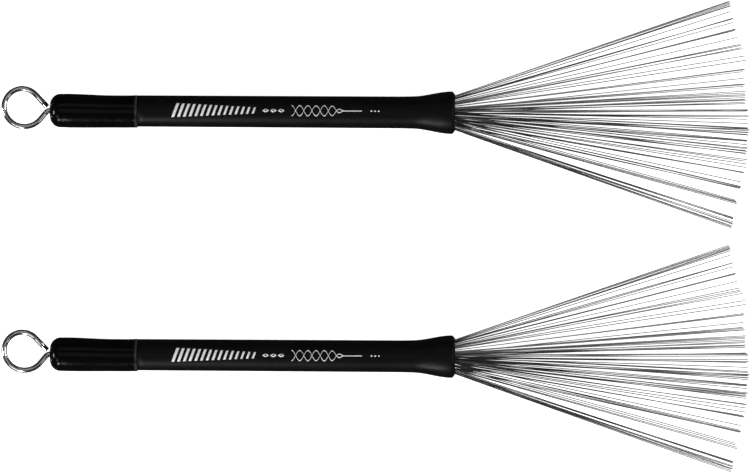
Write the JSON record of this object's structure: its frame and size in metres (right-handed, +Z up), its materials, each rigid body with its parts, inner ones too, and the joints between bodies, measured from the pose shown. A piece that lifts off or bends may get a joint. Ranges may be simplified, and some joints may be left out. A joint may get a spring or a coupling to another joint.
{
  "type": "wire drum brushes",
  "caption": "Pair of retractable wire drum brushes: slim rubber-gripped tubes with flared mouths, fans of fine spring wire, and pull rods with a wire loop that draws the wires into the tube.",
  "frame": {"origin": "on the table, under the middle of the pair's box", "axes": "+X from the loops towards the wire tips, +Y towards the left brush, +Z up from the table"},
  "size_m": [0.3311, 0.2085, 0.0188],
  "materials": {
    "tube_aluminium": "satin drawn tube, bare at the mouth's inside",
    "grip_rubber": "satin moulded rubber, very fine grain",
    "cap_vinyl": "dipped vinyl with a soft gloss",
    "plug_nylon": "natural nylon, as moulded",
    "ring_rubber": "matt rubber",
    "washer_steel": "zinc plated",
    "rod_chrome": "bright nickel plated wire",
    "ferrule_brass": "turned and crimped, slightly dull",
    "collar_nylon": "natural nylon, as moulded",
    "clip_steel": "blued spring steel",
    "wire_steel": "bright drawn spring steel wire"
  },
  "bodies": {
    "left_handle": {"left_handle_tube": "tube_aluminium", "left_grip_sleeve": "grip_rubber", "left_rear_cap": "cap_vinyl", "left_rod_plug": "plug_nylon", "left_friction_ring": "ring_rubber", "left_plug_washer": "washer_steel"},
    "left_plunger": {"left_pull_rod": "rod_chrome", "left_wire_ferrule": "ferrule_brass", "left_slide_collar": "collar_nylon", "left_collar_clip": "clip_steel", "left_edge_wires": "wire_steel", "left_wire_row_1": "wire_steel", "left_wire_row_2": "wire_steel", "left_wire_row_3": "wire_steel", "left_wire_row_4": "wire_steel", "left_wire_row_5": "wire_steel", "left_wire_row_6": "wire_steel", "left_wire_row_7": "wire_steel", "left_wire_row_8": "wire_steel", "left_wire_row_9": "wire_steel"},
    "right_handle": {"right_handle_tube": "tube_aluminium", "right_grip_sleeve": "grip_rubber", "right_rear_cap": "cap_vinyl", "right_rod_plug": "plug_nylon", "right_friction_ring": "ring_rubber", "right_plug_washer": "washer_steel"},
    "right_plunger": {"right_pull_rod": "rod_chrome", "right_wire_ferrule": "ferrule_brass", "right_slide_collar": "collar_nylon", "right_collar_clip": "clip_steel", "right_edge_wires": "wire_steel", "right_wire_row_1": "wire_steel", "right_wire_row_2": "wire_steel", "right_wire_row_3": "wire_steel", "right_wire_row_4": "wire_steel", "right_wire_row_5": "wire_steel", "right_wire_row_6": "wire_steel", "right_wire_row_7": "wire_steel", "right_wire_row_8": "wire_steel", "right_wire_row_9": "wire_steel"}
  },
  "joints": [
    {"name": "right_brush_lift", "type": "slide", "parent": "left_handle", "child": "right_handle", "axis": [0, 0, 1], "range_m": [0, 0.06]},
    {"name": "left_wire_slide", "type": "slide", "parent": "left_handle", "child": "left_plunger", "axis": [-0.9999, 0, -0.0114], "range_m": [0, 0.124], "deforming": ["left_edge_wires", "left_wire_row_1", "left_wire_row_2", "left_wire_row_3", "left_wire_row_4", "left_wire_row_5", "left_wire_row_6", "left_wire_row_7", "left_wire_row_8", "left_wire_row_9"]},
    {"name": "right_wire_slide", "type": "slide", "parent": "right_handle", "child": "right_plunger", "axis": [-0.9999, 0, -0.0114], "range_m": [0, 0.124], "deforming": ["right_edge_wires", "right_wire_row_1", "right_wire_row_2", "right_wire_row_3", "right_wire_row_4", "right_wire_row_5", "right_wire_row_6", "right_wire_row_7", "right_wire_row_8", "right_wire_row_9"]}
  ]
}
